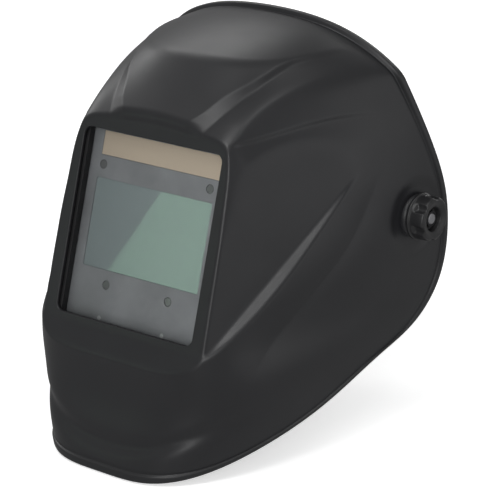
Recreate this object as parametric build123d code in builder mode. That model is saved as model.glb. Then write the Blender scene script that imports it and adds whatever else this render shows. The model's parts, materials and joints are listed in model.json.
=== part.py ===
from build123d import *
from math import cos, pi, radians, sin
import os

os.makedirs("parts", exist_ok=True)

# ---------------------------------------------------------------------------
# Driving dimensions, in millimetres. The origin is the middle of the pivot
# axis, +X is the wearer's left, -Y is forward and +Z is up.
# ---------------------------------------------------------------------------

# Shell form
shell_wall = 2.4
bead_height = 1.5
bead_width = 5.0
side_back_y = 35.0
form_back_y = 60.0

# height, foremost y, half width, exponent along y, exponent along x
shell_sections = (
    (-158, -203.6, 95.8, 1.75, 3.7),
    (-130, -197.1, 100.3, 2.0, 4.0),
    (-100, -188.1, 104.9, 2.0, 4.7),
    (-70, -188.4, 109.1, 1.5, 5.8),
    (-35, -192.2, 112.0, 1.4, 5.4),
    (0, -189.1, 112.8, 1.7, 3.5),
    (35, -191.3, 114.3, 1.75, 2.6),
    (70, -177.0, 113.5, 1.4, 2.65),
    (105, -131.6, 100.7, 1.2, 2.9),
    (130, -105.6, 88.3, 1.2, 2.7),
    (150, -91.3, 82.0, 1.2, 2.5),
)

# Forehead, turned about an upright axis behind the head: y and z in the side view
forehead_axis_y = 130.0
forehead_profile = (
    (-155.0, 62.0),
    (-139.9, 78.5),
    (-121.1, 96.0),
    (-100.6, 115.0),
    (-83.6, 130.0),
    (-66.0, 148.0),
)

# Crown facet, part of a cylinder that leans back
crown_radius = 150.0
crown_tilt = 13.0
crown_point = (0.0, -103.0, 115.5)
# Rear rim in the side view, from the crown down to the chin
rim_points = (
    (-18.9, 134.4),
    (-6.3, 102.0),
    (3.5, 77.6),
    (16.8, 45.6),
    (29.8, 11.6),
    (34.7, -25.0),
    (28.8, -56.0),
    (10.7, -76.5),
    (-30.6, -92.7),
    (-84.0, -114.0),
    (-140.0, -132.6),
    (-180.5, -143.6),
    (-209.0, -149.2),
)

# Window
window_tilt = 16.0
window_centre = (0.0, -160.0, 6.0)
opening_width = 118.0
opening_height = 125.4
opening_radius = 5.5
panel_wall = 3.0

# Side panels: three corners of each flat, and the tilt of the ledge below it
panel_top = Vector(66.0, -143.0, 71.5)
panel_bottom = Vector(69.0, -178.0, -58.0)
panel_apex = Vector(110.0, -19.0, 71.0)
ledge_angle = 55.0
# Chin ledge under the window
chin_ledge_point = Vector(0.0, -178.6, -58.5)
chin_ledge_normal = Vector(0.0, -0.84, 0.5426)

# Filter pocket and filter, measured across, up and back from the window's face
pocket_width = 119.0
pocket_height = 137.4
pocket_depth = 19.6
frame_front = 3.2
view_width = 114.0
view_height = 131.0
cover_front = 8.0
cover_thickness = 1.2
plate_width = 116.0
plate_height = 134.0
filter_front = 9.4
front_housing_depth = 5.0
glass_width = 100.0
glass_height = 60.0
solar_height = 53.5
solar_x = 3.0
solar_width = 104.0
solar_tall = 16.0
sensor_radius = 3.0
sensor_places = ((-46, 39), (46, 39), (-27, -39.7), (27, -39.7))
led_radius = 1.6
led_places = ((-28.5, -62.4), (26.5, -62.4))
back_housing_depth = 5.0
inner_lens_width = 106.0
inner_lens_height = 66.0
control_width = 100.0
control_depth = 5.0
control_height = -48.0
switch_height = 48.0
board_width = 92.0
board_tall = 18.0
dial_places = (-32, 0, 32)
dial_radius = 8.5
dial_shaft_radius = 3.0
dial_depth = 5.5
tray_x = -24.0
tray_width = 38.0
tray_tall = 18.0
cell_radius = 8.0
cell_depth = 3.2
button_x = 14.0
button_radius = 4.0
switch_x = 34.0
switch_slot = 14.0
switch_travel = 6.0
retainer_depth = 3.5
retainer_hole_width = 106.0
retainer_hole_height = 126.0
retainer_screw_places = ((-65.3, -45), (65.3, -45), (-65.3, 45), (65.3, 45))
screw_radius = 1.4
screw_length = 8.0
post_radius = 4.0
post_front = 10.0

# Pivots: places along X on the left side, mirrored on the right
running_gap = 0.05
flip_range = 85.0
reach_travel = 8.0
bracket_x = 91.0
bracket_depth = 3.0
bracket_front_y = -27.0
bracket_back_y = 34.0
bracket_height = 36.0
bracket_rise = 4.0
bracket_leg_places = ((-22.0, 15.3), (28.0, 2.0))
bracket_leg_width = 8.0
bracket_leg_tall = 9.0
carriage_x = 94.3
carriage_depth = 6.0
carriage_length = 26.0
carriage_height = 24.0
guide_length = 14.0
guide_height = 11.0
bolt_head_x = 88.2
bolt_head_radius = 9.0
bolt_head_depth = 2.4
bolt_neck = 7.0
bolt_radius = 4.0
stop_plate_x = 100.4
stop_plate_depth = 2.0
stop_plate_radius = 27.0
stop_slot_radius = 22.0
stop_pin_angle = 200.0
stop_pin_radius = 2.0
stop_pin_end_x = 108.8
washer_depth = 0.8
boss_inner_x = 103.5
boss_outer_x = 112.6
boss_radius = 14.0
bush_radius = 6.0
knob_base_x = 113.6
knob_base_radius = 17.0
knob_base_depth = 2.4
knob_radius = 15.4
knob_depth = 11.0
knob_face_x = knob_base_x + knob_base_depth + knob_depth
knob_recess_radius = 8.3
knob_recess_depth = 6.0
flute_count = 6
flute_radius = 4.2
flute_circle = 18.2
flute_start = 2.8
nut_radius = 5.5

# Headband: a round front and a round back joined by straight sides
band_tilt = 16.0
band_height = 9.0
band_radius = 78.0
band_wall = 1.8
band_tall = 14.0
brow_tall = 24.0
front_arc_y = -18.0
rear_arc_y = 22.0
band_end_angle = 40.0
rack_radius = 80.2
rack_wall = 1.6
rack_start = 20.0
rack_neck = 50.0
rack_end = 96.0
rack_low = -7.0
rack_high = 9.6
rack_tip = 5.2
rack_root = 7.1
tooth_pitch = 2.2222
tooth_gap = 1.34
housing_radius = 77.6
cover_radius = 82.2
cover_outer = 84.6
housing_start = 64.0
housing_end = 116.0
housing_tall = 26.0
pinion_teeth = 12
pinion_root = 4.7
pinion_tip = 6.8
ratchet_radius = 21.0
ratchet_depth = 12.0
strap_inner = 80.2
strap_wall = 1.6
strap_width = 14.0
pad_depth = 6.0
leg_drop = 20.0
front_foot = (0, -9, 24)
rear_foot = (0, 20, 20)
front_lean = 11.0
rear_lean = -20.0
peg_radius = 2.2
peg_angles = (82, 98)
rivet_places = ((-6.7, 12.0), (15.5, 7.0))

band_plane = Plane(
    origin=(0, 0, band_height),
    x_dir=(1, 0, 0),
    z_dir=(0, sin(radians(band_tilt)), cos(radians(band_tilt))),
)

window_plane = Plane(
    origin=window_centre,
    x_dir=(1, 0, 0),
    z_dir=(0, -cos(radians(window_tilt)), sin(radians(window_tilt))),
)
ledge_line = (panel_apex - panel_bottom).normalized()
panel_normal = ledge_line.cross(panel_bottom - panel_top).normalized()
if panel_normal.X < 0:
    panel_normal = panel_normal * -1
panel_up = panel_normal.cross(ledge_line)
ledge_normal = panel_normal * cos(radians(ledge_angle)) + panel_up * sin(radians(ledge_angle))


def section_outline(front_y, half_width, n, m, inset):
    """Points of the rounded front half of a level section, from left to right."""
    steps = 16
    reach = side_back_y - front_y - inset
    width = half_width - inset
    points = []
    for i in range(steps + 1):
        t = pi * i / steps
        along = sin(t) ** (2 / n)
        across = abs(cos(t)) ** (2 / m)
        side = 1 if t < pi / 2 else -1
        points.append((side * width * across, side_back_y - reach * along))
    return points


def flat_cutter(face, tilt_point, tilt_normal):
    """Block on the outside of a flat, ended by the ledge below the flat."""
    with BuildPart() as cutter:
        with BuildSketch(face):
            with Locations((100, 70)):
                Rectangle(700, 300)
        extrude(amount=90)
        split(bisect_by=Plane(origin=tilt_point, z_dir=tilt_normal))
    return cutter.part


def outer_form(inset):
    """The closed form of the shell, moved inwards by inset."""
    ledge_point = panel_bottom - ledge_normal * inset
    flat = Plane(origin=panel_bottom - panel_normal * inset, x_dir=ledge_line, z_dir=panel_normal)
    side_cut = flat_cutter(flat, ledge_point, ledge_normal)
    chin_point = chin_ledge_point - chin_ledge_normal * inset
    window_cut = flat_cutter(window_plane.offset(-inset), chin_point, chin_ledge_normal)
    with BuildPart() as form:
        for height, front_y, half_width, n, m in shell_sections:
            points = section_outline(front_y, half_width, n, m, inset)
            width = half_width - inset
            with BuildSketch(Plane.XY.offset(height)):
                with BuildLine():
                    Spline(*points, tangents=((0, -1), (0, 1)))
                    Polyline(points[-1], (-width, form_back_y), (width, form_back_y), points[0])
                make_face()
        loft()
        # forehead
        axis = Axis((0, forehead_axis_y, 0), (0, 0, 1))
        brow = [(y + 0.8 * inset, z - 0.6 * inset) for y, z in forehead_profile]
        top_z = brow[-1][1]
        with BuildSketch(Plane.YZ):
            with BuildLine():
                Spline(*brow)
                Polyline(
                    brow[-1],
                    (forehead_axis_y, top_z),
                    (forehead_axis_y, -220),
                    (-215, -220),
                    (-215, 20),
                    brow[0],
                )
            make_face()
        revolve(axis=axis, revolution_arc=360, mode=Mode.INTERSECT)
        # crown facet
        lean = Plane(
            origin=crown_point,
            x_dir=(1, 0, 0),
            z_dir=(0, -cos(radians(crown_tilt)), -sin(radians(crown_tilt))),
        )
        with BuildSketch(lean.offset(200)):
            with Locations((0, -crown_radius)):
                Circle(crown_radius - inset)
            with Locations((0, -crown_radius - 200)):
                Rectangle(2 * (crown_radius - inset), 400)
        extrude(amount=-400, mode=Mode.INTERSECT)
        # window flat with the chin ledge below it, and the side flats with theirs
        add(window_cut, mode=Mode.SUBTRACT)
        add(side_cut, mode=Mode.SUBTRACT)
        add(mirror(side_cut, about=Plane.YZ, mode=Mode.PRIVATE), mode=Mode.SUBTRACT)
    return form.part


def side_outline(shift):
    """Solid that keeps what lies ahead of the rim, moved forward and up by shift."""
    points = [(y - shift, z + 0.8 * shift) for y, z in rim_points]
    with BuildPart() as keep:
        with BuildSketch(Plane.YZ.offset(-160)):
            with BuildLine():
                Spline(*points)
                Polyline(points[-1], (-260, -162), (-260, 190), (-52, 190), points[0])
            make_face()
        extrude(amount=320)
    return keep.part


def depth_plane(depth):
    """Plane parallel to the window, depth behind its face."""
    return window_plane.offset(-depth)


def frame_ring(width, height, radius, hole_width, hole_height, hole_radius):
    """Sketch of a rounded rectangle with a rounded rectangular hole."""
    RectangleRounded(width, height, radius)
    RectangleRounded(hole_width, hole_height, hole_radius, mode=Mode.SUBTRACT)


def arc_band(inner, outer, low, high, start, end, centre_y):
    """Part of a ring about the band's normal, between two angles and two heights."""
    with BuildPart() as ring:
        with BuildSketch(band_plane.offset(low)):
            with BuildLine():
                CenterArc((0, centre_y), outer, start, end - start)
                CenterArc((0, centre_y), inner, start, end - start)
                Line(ring_point(inner, start, centre_y), ring_point(outer, start, centre_y))
                Line(ring_point(inner, end, centre_y), ring_point(outer, end, centre_y))
            make_face()
        extrude(amount=high - low)
    return ring.part


def ring_point(radius, angle, centre_y):
    """Point on a circle about (0, centre_y) in the band's plane."""
    return (radius * cos(radians(angle)), centre_y + radius * sin(radians(angle)))


# ---------------------------------------------------------------------------
# Shell
# ---------------------------------------------------------------------------
full_form = outer_form(0)
hollow_form = outer_form(shell_wall)
bead_form = outer_form(-bead_height)
ahead_of_rim = side_outline(0)
ahead_of_bead = side_outline(bead_width)

with BuildPart() as rim_bead:
    add(bead_form)
    add(hollow_form, mode=Mode.SUBTRACT)
    add(ahead_of_rim, mode=Mode.INTERSECT)
    add(ahead_of_bead, mode=Mode.SUBTRACT)

with BuildPart() as shell:
    add(full_form)
    add(hollow_form, mode=Mode.SUBTRACT)
    add(ahead_of_rim, mode=Mode.INTERSECT)
    add(rim_bead.part)
    # pocket that holds the filter, behind the window
    with BuildSketch(depth_plane(0.6)):
        frame_ring(pocket_width + 4, pocket_height + 4, 6, pocket_width, pocket_height, 4)
    extrude(amount=-(pocket_depth - 0.6))
    with BuildSketch(depth_plane(0.6)):
        RectangleRounded(pocket_width + 4, pocket_height + 4, 6)
    extrude(amount=-(panel_wall - 0.6))
    # posts for the screws of the retaining frame
    with BuildSketch(depth_plane(post_front)):
        with Locations(*retainer_screw_places):
            Circle(post_radius)
    extrude(amount=-(pocket_depth - post_front))
    with BuildSketch(depth_plane(pocket_depth)):
        with Locations(*retainer_screw_places):
            Circle(screw_radius)
    extrude(amount=screw_length, mode=Mode.SUBTRACT)
    # flat bosses round the pivot holes, inside and out
    for side in (-1, 1):
        with BuildSketch(Plane.YZ.offset(side * boss_inner_x)):
            Circle(boss_radius)
        extrude(amount=side * (boss_outer_x - boss_inner_x))
        with BuildSketch(Plane.YZ.offset(side * (boss_inner_x - 1))):
            Circle(bush_radius + running_gap)
        extrude(amount=side * 20, mode=Mode.SUBTRACT)
    # window opening
    with BuildSketch(depth_plane(-8)):
        RectangleRounded(opening_width, opening_height, opening_radius)
    extrude(amount=-(panel_wall + 8.2), mode=Mode.SUBTRACT)
shell.part.label = "shell"
export_step(shell.part, "parts/shell.step")

# Stop pins inside the shell, which run in the slots of the stop plates
with BuildPart() as stop_pin_left:
    with BuildSketch(Plane.YZ.offset(stop_plate_x)):
        with PolarLocations(stop_slot_radius, 1, start_angle=stop_pin_angle):
            Circle(stop_pin_radius)
    extrude(amount=stop_pin_end_x - stop_plate_x)
stop_pin_left.part.label = "stop_pin_left"
export_step(stop_pin_left.part, "parts/stop_pin_left.step")

with BuildPart() as stop_pin_right:
    add(mirror(stop_pin_left.part, about=Plane.YZ, mode=Mode.PRIVATE))
stop_pin_right.part.label = "stop_pin_right"
export_step(stop_pin_right.part, "parts/stop_pin_right.step")

# ---------------------------------------------------------------------------
# Window: frame, lenses and the automatic filter
# ---------------------------------------------------------------------------
with BuildPart() as window_frame:
    with BuildSketch(depth_plane(frame_front)):
        RectangleRounded(pocket_width - 0.4, pocket_height - 0.4, 4)
    extrude(amount=-(pocket_depth - frame_front))
    with BuildSketch(depth_plane(frame_front)):
        RectangleRounded(view_width, view_height, 4)
    extrude(amount=-(cover_front - frame_front), mode=Mode.SUBTRACT)
    with BuildSketch(depth_plane(cover_front)):
        RectangleRounded(plate_width + 0.4, plate_height + 0.4, 2)
    extrude(amount=-(pocket_depth - cover_front), mode=Mode.SUBTRACT)
window_frame.part.label = "window_frame"
export_step(window_frame.part, "parts/window_frame.step")

with BuildPart() as cover_lens:
    with BuildSketch(depth_plane(cover_front)):
        RectangleRounded(plate_width, plate_height, 2)
    extrude(amount=-cover_thickness)
cover_lens.part.label = "cover_lens"
export_step(cover_lens.part, "parts/cover_lens.step")

with BuildPart() as filter_front_housing:
    with BuildSketch(depth_plane(filter_front)):
        RectangleRounded(plate_width, plate_height, 2)
    extrude(amount=-front_housing_depth)
    with BuildSketch(depth_plane(filter_front)):
        RectangleRounded(glass_width, glass_height, 1.5)
    extrude(amount=-0.8, mode=Mode.SUBTRACT)
    with BuildSketch(depth_plane(filter_front + 0.8)):
        Rectangle(glass_width + 4.4, glass_height + 4.4)
    extrude(amount=-(front_housing_depth - 0.8), mode=Mode.SUBTRACT)
    with BuildSketch(depth_plane(filter_front)):
        with Locations((solar_x, solar_height)):
            Rectangle(solar_width + 0.4, solar_tall + 0.4)
    extrude(amount=-1.6, mode=Mode.SUBTRACT)
    with BuildSketch(depth_plane(filter_front)):
        with Locations(*sensor_places):
            Circle(sensor_radius + 0.15)
    extrude(amount=-2.4, mode=Mode.SUBTRACT)
    with BuildSketch(depth_plane(filter_front)):
        with Locations(*led_places):
            Circle(led_radius + 0.1)
    extrude(amount=-2.4, mode=Mode.SUBTRACT)
filter_front_housing.part.label = "filter_front_housing"
export_step(filter_front_housing.part, "parts/filter_front_housing.step")

with BuildPart() as lcd_filter:
    with BuildSketch(depth_plane(filter_front + 0.8)):
        Rectangle(glass_width + 4, glass_height + 4)
    extrude(amount=-(front_housing_depth - 0.8))
lcd_filter.part.label = "lcd_filter"
export_step(lcd_filter.part, "parts/lcd_filter.step")

with BuildPart() as solar_cell:
    with BuildSketch(depth_plane(filter_front + 0.3)):
        with Locations((solar_x, solar_height)):
            Rectangle(solar_width, solar_tall)
    extrude(amount=-1.3)
solar_cell.part.label = "solar_cell"
export_step(solar_cell.part, "parts/solar_cell.step")

with BuildPart() as arc_sensors:
    with BuildSketch(depth_plane(filter_front + 0.3)):
        with Locations(*sensor_places):
            Circle(sensor_radius)
    extrude(amount=-2.1)
arc_sensors.part.label = "arc_sensors"
export_step(arc_sensors.part, "parts/arc_sensors.step")

with BuildPart() as status_leds:
    with BuildSketch(depth_plane(filter_front)):
        with Locations(*led_places):
            Circle(led_radius)
    extrude(amount=-2.4)
status_leds.part.label = "status_leds"
export_step(status_leds.part, "parts/status_leds.step")

back_front = filter_front + front_housing_depth
with BuildPart() as filter_back_housing:
    with BuildSketch(depth_plane(back_front)):
        RectangleRounded(plate_width, plate_height, 2)
        Rectangle(glass_width - 2, glass_height - 2, mode=Mode.SUBTRACT)
    extrude(amount=-back_housing_depth)
    # recess for the inner cover lens
    with BuildSketch(depth_plane(back_front + back_housing_depth - 1.3)):
        RectangleRounded(inner_lens_width + 0.4, inner_lens_height + 0.4, 2)
    extrude(amount=-1.3, mode=Mode.SUBTRACT)
    # raised control block under the view, and a lower one above it
    with BuildSketch(depth_plane(back_front + back_housing_depth)):
        with Locations((0, control_height)):
            RectangleRounded(control_width, 24, 4)
        with Locations((0, switch_height)):
            RectangleRounded(control_width, 20, 4)
    extrude(amount=-control_depth)
    # room for the circuit board behind the lower sensors
    with BuildSketch(depth_plane(back_front)):
        with Locations((0, control_height)):
            Rectangle(board_width + 0.6, board_tall + 0.6)
    extrude(amount=-2.4, mode=Mode.SUBTRACT)
    # shafts of the three dials
    with BuildSketch(depth_plane(back_front + 2.4)):
        with Locations(*[(x, control_height) for x in dial_places]):
            Circle(dial_shaft_radius + running_gap)
    extrude(amount=-(back_housing_depth + control_depth), mode=Mode.SUBTRACT)
    # battery tray bay, open to the back
    with BuildSketch(depth_plane(back_front + 1.2)):
        with Locations((tray_x, switch_height)):
            Rectangle(tray_width + 0.4, tray_tall + 0.4)
    extrude(amount=-(back_housing_depth + control_depth), mode=Mode.SUBTRACT)
    # test button bore and mode switch slot
    with BuildSketch(depth_plane(back_front + 3.5)):
        with Locations((button_x, switch_height)):
            Circle(button_radius + 0.15)
    extrude(amount=-(back_housing_depth + control_depth), mode=Mode.SUBTRACT)
    with BuildSketch(depth_plane(back_front + 3.5)):
        with Locations((switch_x, switch_height)):
            Rectangle(switch_slot, 5.4)
    extrude(amount=-(back_housing_depth + control_depth), mode=Mode.SUBTRACT)
filter_back_housing.part.label = "filter_back_housing"
export_step(filter_back_housing.part, "parts/filter_back_housing.step")

with BuildPart() as circuit_board:
    with BuildSketch(depth_plane(back_front + 0.4)):
        with Locations((0, control_height)):
            Rectangle(board_width, board_tall)
    extrude(amount=-1.2)
circuit_board.part.label = "circuit_board"
export_step(circuit_board.part, "parts/circuit_board.step")

with BuildPart() as inner_cover_lens:
    with BuildSketch(depth_plane(back_front + back_housing_depth - 1.2)):
        RectangleRounded(inner_lens_width, inner_lens_height, 2)
    extrude(amount=-1.0)
inner_cover_lens.part.label = "inner_cover_lens"
export_step(inner_cover_lens.part, "parts/inner_cover_lens.step")

# Dials: one grip each, on a shaft that turns in the back housing
dial_face = back_front + back_housing_depth + control_depth
for label, place in zip(("shade_knob", "sensitivity_knob", "delay_knob"), dial_places):
    with BuildPart() as dial:
        with BuildSketch(depth_plane(back_front + 2.6)):
            with Locations((place, control_height)):
                Circle(dial_shaft_radius)
        extrude(amount=-(dial_face - back_front - 2.6 + 2))
        with BuildSketch(depth_plane(dial_face + 0.3)):
            with Locations((place, control_height)):
                Circle(dial_radius)
                with PolarLocations(dial_radius + 0.7, 16):
                    Circle(1.3, mode=Mode.SUBTRACT)
        extrude(amount=-dial_depth)
        with BuildSketch(depth_plane(dial_face + 0.3 + dial_depth - 0.8)):
            with Locations((place, control_height + dial_radius * 0.5)):
                SlotCenterToCenter(3.5, 1.2, rotation=90)
        extrude(amount=-0.8, mode=Mode.SUBTRACT)
    dial.part.label = label
    export_step(dial.part, f"parts/{label}.step")

with BuildPart() as test_button:
    with BuildSketch(depth_plane(dial_face - 3.5)):
        with Locations((button_x, switch_height)):
            Circle(button_radius)
    extrude(amount=-5.5)
test_button.part.label = "test_button"
export_step(test_button.part, "parts/test_button.step")

with BuildPart() as mode_switch:
    with BuildSketch(depth_plane(dial_face - 3.0)):
        with Locations((switch_x - switch_travel / 2, switch_height)):
            Rectangle(switch_slot - switch_travel - 0.4, 5.0)
    extrude(amount=-3.0)
    with BuildSketch(depth_plane(dial_face)):
        with Locations((switch_x - switch_travel / 2, switch_height)):
            RectangleRounded(3.2, 4.4, 0.8)
    extrude(amount=-2.0)
mode_switch.part.label = "mode_switch"
export_step(mode_switch.part, "parts/mode_switch.step")

# Battery tray: it pulls straight back out of its bay
cell_places = [(tray_x + side * (cell_radius + 0.8), switch_height) for side in (-1, 1)]

with BuildPart() as battery_tray:
    with BuildSketch(depth_plane(back_front + 1.4)):
        with Locations((tray_x, switch_height)):
            Rectangle(tray_width, tray_tall)
    extrude(amount=-(dial_face - back_front - 1.4))
    with BuildSketch(depth_plane(dial_face)):
        with Locations((tray_x, switch_height)):
            RectangleRounded(tray_width - 4, 4, 1)
    extrude(amount=-2.2)
    with BuildSketch(depth_plane(back_front + 1.4)):
        with Locations(*cell_places):
            Circle(cell_radius + 0.2)
    extrude(amount=-cell_depth - 0.4, mode=Mode.SUBTRACT)
battery_tray.part.label = "battery_tray"
export_step(battery_tray.part, "parts/battery_tray.step")

with BuildPart() as coin_cells:
    with BuildSketch(depth_plane(back_front + 1.6)):
        with Locations(*cell_places):
            Circle(cell_radius)
    extrude(amount=-cell_depth)
coin_cells.part.label = "coin_cells"
export_step(coin_cells.part, "parts/coin_cells.step")

# Retaining frame behind the filter, held by four screws
with BuildPart() as retaining_frame:
    with BuildSketch(depth_plane(pocket_depth)):
        frame_ring(pocket_width + 4, pocket_height + 4, 6, retainer_hole_width, retainer_hole_height, 4)
        with Locations(*retainer_screw_places):
            Circle(post_radius)
    extrude(amount=-retainer_depth)
    with BuildSketch(depth_plane(pocket_depth)):
        with Locations(*retainer_screw_places):
            Circle(screw_radius)
    extrude(amount=-retainer_depth, mode=Mode.SUBTRACT)
retaining_frame.part.label = "retaining_frame"
export_step(retaining_frame.part, "parts/retaining_frame.step")

with BuildPart() as retainer_screws:
    with BuildSketch(depth_plane(pocket_depth - screw_length)):
        with Locations(*retainer_screw_places):
            Circle(screw_radius)
    extrude(amount=-(screw_length + retainer_depth))
    with BuildSketch(depth_plane(pocket_depth + retainer_depth)):
        with Locations(*retainer_screw_places):
            Circle(2.2)
    extrude(amount=-1.2)
    with BuildSketch(depth_plane(pocket_depth + retainer_depth + 1.2)):
        with Locations(*retainer_screw_places):
            Rectangle(3.0, 0.6)
            Rectangle(0.6, 3.0)
    extrude(amount=0.7, mode=Mode.SUBTRACT)
retainer_screws.part.label = "retainer_screws"
export_step(retainer_screws.part, "parts/retainer_screws.step")

# ---------------------------------------------------------------------------
# Pivots
# ---------------------------------------------------------------------------
with BuildPart() as tension_knob_left:
    with BuildSketch(Plane.YZ.offset(knob_base_x)):
        Circle(knob_base_radius)
    extrude(amount=knob_base_depth)
    with BuildSketch(Plane.YZ.offset(knob_base_x + knob_base_depth)):
        Circle(knob_radius)
    extrude(amount=knob_depth)
    chamfer(tension_knob_left.faces().sort_by(Axis.X)[-1].edges(), length=0.8)
    # flutes in the grip, from a little above the base to the face
    with BuildSketch(Plane.YZ.offset(knob_base_x + knob_base_depth + flute_start)):
        with PolarLocations(flute_circle, flute_count, start_angle=20):
            Circle(flute_radius)
    extrude(amount=knob_depth + 1, mode=Mode.SUBTRACT)
    # recess in the face, then the bore for the bolt
    with BuildSketch(Plane.YZ.offset(knob_face_x - knob_recess_depth)):
        Circle(knob_recess_radius)
    extrude(amount=knob_recess_depth + 1, mode=Mode.SUBTRACT)
    with BuildSketch(Plane.YZ.offset(knob_base_x - 1)):
        Circle(nut_radius)
    extrude(amount=40, mode=Mode.SUBTRACT)
tension_knob_left.part.label = "tension_knob_left"
export_step(tension_knob_left.part, "parts/tension_knob_left.step")

with BuildPart() as knob_nut_left:
    with BuildSketch(Plane.YZ.offset(knob_base_x + 0.5)):
        Circle(nut_radius)
        Circle(bolt_radius + running_gap, mode=Mode.SUBTRACT)
    extrude(amount=knob_face_x - 3.5 - knob_base_x)
knob_nut_left.part.label = "knob_nut_left"
export_step(knob_nut_left.part, "parts/knob_nut_left.step")

with BuildPart() as knob_washer_left:
    with BuildSketch(Plane.YZ.offset(boss_outer_x + 0.05)):
        Circle(boss_radius - 1.5)
        Circle(bolt_radius + 0.3, mode=Mode.SUBTRACT)
    extrude(amount=knob_base_x - boss_outer_x - 0.1)
knob_washer_left.part.label = "knob_washer_left"
export_step(knob_washer_left.part, "parts/knob_washer_left.step")

# Square-necked bolt: head inside, neck keyed in the carriage, shank outwards
with BuildPart() as pivot_bolt_left:
    with BuildSketch(Plane.YZ.offset(bolt_head_x)):
        Circle(bolt_head_radius)
    extrude(amount=bolt_head_depth)
    with BuildSketch(Plane.YZ.offset(bolt_head_x + bolt_head_depth)):
        Rectangle(bolt_neck, bolt_neck)
    extrude(amount=carriage_x + carriage_depth - bolt_head_x - bolt_head_depth)
    with BuildSketch(Plane.YZ.offset(carriage_x + carriage_depth)):
        Circle(bolt_radius)
    extrude(amount=knob_face_x - 2.6 - carriage_x - carriage_depth)
    chamfer(pivot_bolt_left.faces().sort_by(Axis.X)[-1].edges(), length=0.7)
pivot_bolt_left.part.label = "pivot_bolt_left"
export_step(pivot_bolt_left.part, "parts/pivot_bolt_left.step")

with BuildPart() as pivot_bush_left:
    with BuildSketch(Plane.YZ.offset(stop_plate_x + stop_plate_depth + washer_depth)):
        Circle(bush_radius)
        Circle(bolt_radius, mode=Mode.SUBTRACT)
    extrude(amount=boss_outer_x - stop_plate_x - stop_plate_depth - washer_depth)
pivot_bush_left.part.label = "pivot_bush_left"
export_step(pivot_bush_left.part, "parts/pivot_bush_left.step")

with BuildPart() as friction_washer_left:
    with BuildSketch(Plane.YZ.offset(stop_plate_x + stop_plate_depth)):
        Circle(boss_radius - 1)
        Circle(bolt_radius, mode=Mode.SUBTRACT)
    extrude(amount=washer_depth)
friction_washer_left.part.label = "friction_washer_left"
export_step(friction_washer_left.part, "parts/friction_washer_left.step")

# Stop plate with a curved slot that sets how far the shell swings
stop_slot = CenterArc((0, 0), stop_slot_radius, stop_pin_angle - flip_range - 3, flip_range + 6)
with BuildPart() as stop_plate_left:
    with BuildSketch(Plane.YZ.offset(stop_plate_x)):
        Circle(stop_plate_radius)
        Circle(bolt_radius, mode=Mode.SUBTRACT)
        SlotArc(stop_slot, height=2 * stop_pin_radius + 0.6, mode=Mode.SUBTRACT)
    extrude(amount=stop_plate_depth)
stop_plate_left.part.label = "stop_plate_left"
export_step(stop_plate_left.part, "parts/stop_plate_left.step")

with BuildPart() as pivot_carriage_left:
    with BuildSketch(Plane.YZ.offset(carriage_x)):
        RectangleRounded(carriage_length, carriage_height, 3)
    extrude(amount=carriage_depth)
    with BuildSketch(Plane.YZ.offset(bracket_x - 0.3)):
        Rectangle(guide_length, guide_height)
    extrude(amount=carriage_x - bracket_x + 0.3)
    with BuildSketch(Plane.YZ.offset(bracket_x - 2)):
        Rectangle(bolt_neck, bolt_neck)
    extrude(amount=30, mode=Mode.SUBTRACT)
pivot_carriage_left.part.label = "pivot_carriage_left"
export_step(pivot_carriage_left.part, "parts/pivot_carriage_left.step")

pivot_pairs = (
    ("tension_knob", tension_knob_left),
    ("knob_nut", knob_nut_left),
    ("knob_washer", knob_washer_left),
    ("pivot_bolt", pivot_bolt_left),
    ("pivot_bush", pivot_bush_left),
    ("friction_washer", friction_washer_left),
    ("stop_plate", stop_plate_left),
    ("pivot_carriage", pivot_carriage_left),
)
for label, left in pivot_pairs:
    with BuildPart() as right:
        add(mirror(left.part, about=Plane.YZ, mode=Mode.PRIVATE))
    right.part.label = f"{label}_right"
    export_step(right.part, f"parts/{label}_right.step")

# ---------------------------------------------------------------------------
# Headgear
# ---------------------------------------------------------------------------
# Screws through the headband into the legs of the side brackets
with BuildPart() as bracket_screws:
    for side in (-1, 1):
        with BuildSketch(Plane.YZ.offset(side * (band_radius - 1.2))):
            with Locations(*bracket_leg_places):
                Circle(3.0)
        extrude(amount=side * 1.2)
        with BuildSketch(Plane.YZ.offset(side * band_radius)):
            with Locations(*bracket_leg_places):
                Circle(1.5)
        extrude(amount=side * 9)
bracket_screws.part.label = "bracket_screws"
export_step(bracket_screws.part, "parts/bracket_screws.step")

# Rivets that fix the legs of the crown straps to the headband
with BuildPart() as strap_rivets:
    for side in (-1, 1):
        with BuildSketch(Plane.YZ.offset(side * (band_radius - 0.6))):
            with Locations(*rivet_places):
                Circle(2.2)
        extrude(amount=side * 5)
strap_rivets.part.label = "strap_rivets"
export_step(strap_rivets.part, "parts/strap_rivets.step")

with BuildPart() as side_bracket_left:
    with BuildSketch(Plane.YZ.offset(bracket_x)):
        with Locations(((bracket_front_y + bracket_back_y) / 2, bracket_rise)):
            RectangleRounded(bracket_back_y - bracket_front_y, bracket_height, 4)
        Rectangle(guide_length + 2 * reach_travel + 0.4, guide_height + 0.2, mode=Mode.SUBTRACT)
    extrude(amount=bracket_depth)
    with BuildSketch(Plane.YZ.offset(band_radius + band_wall)):
        with Locations(*bracket_leg_places):
            Rectangle(bracket_leg_width, bracket_leg_tall)
    extrude(amount=bracket_x - band_radius - band_wall)
    add(bracket_screws.part, mode=Mode.SUBTRACT)
side_bracket_left.part.label = "side_bracket_left"
export_step(side_bracket_left.part, "parts/side_bracket_left.step")

with BuildPart() as side_bracket_right:
    add(mirror(side_bracket_left.part, about=Plane.YZ, mode=Mode.PRIVATE))
side_bracket_right.part.label = "side_bracket_right"
export_step(side_bracket_right.part, "parts/side_bracket_right.step")

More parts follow.
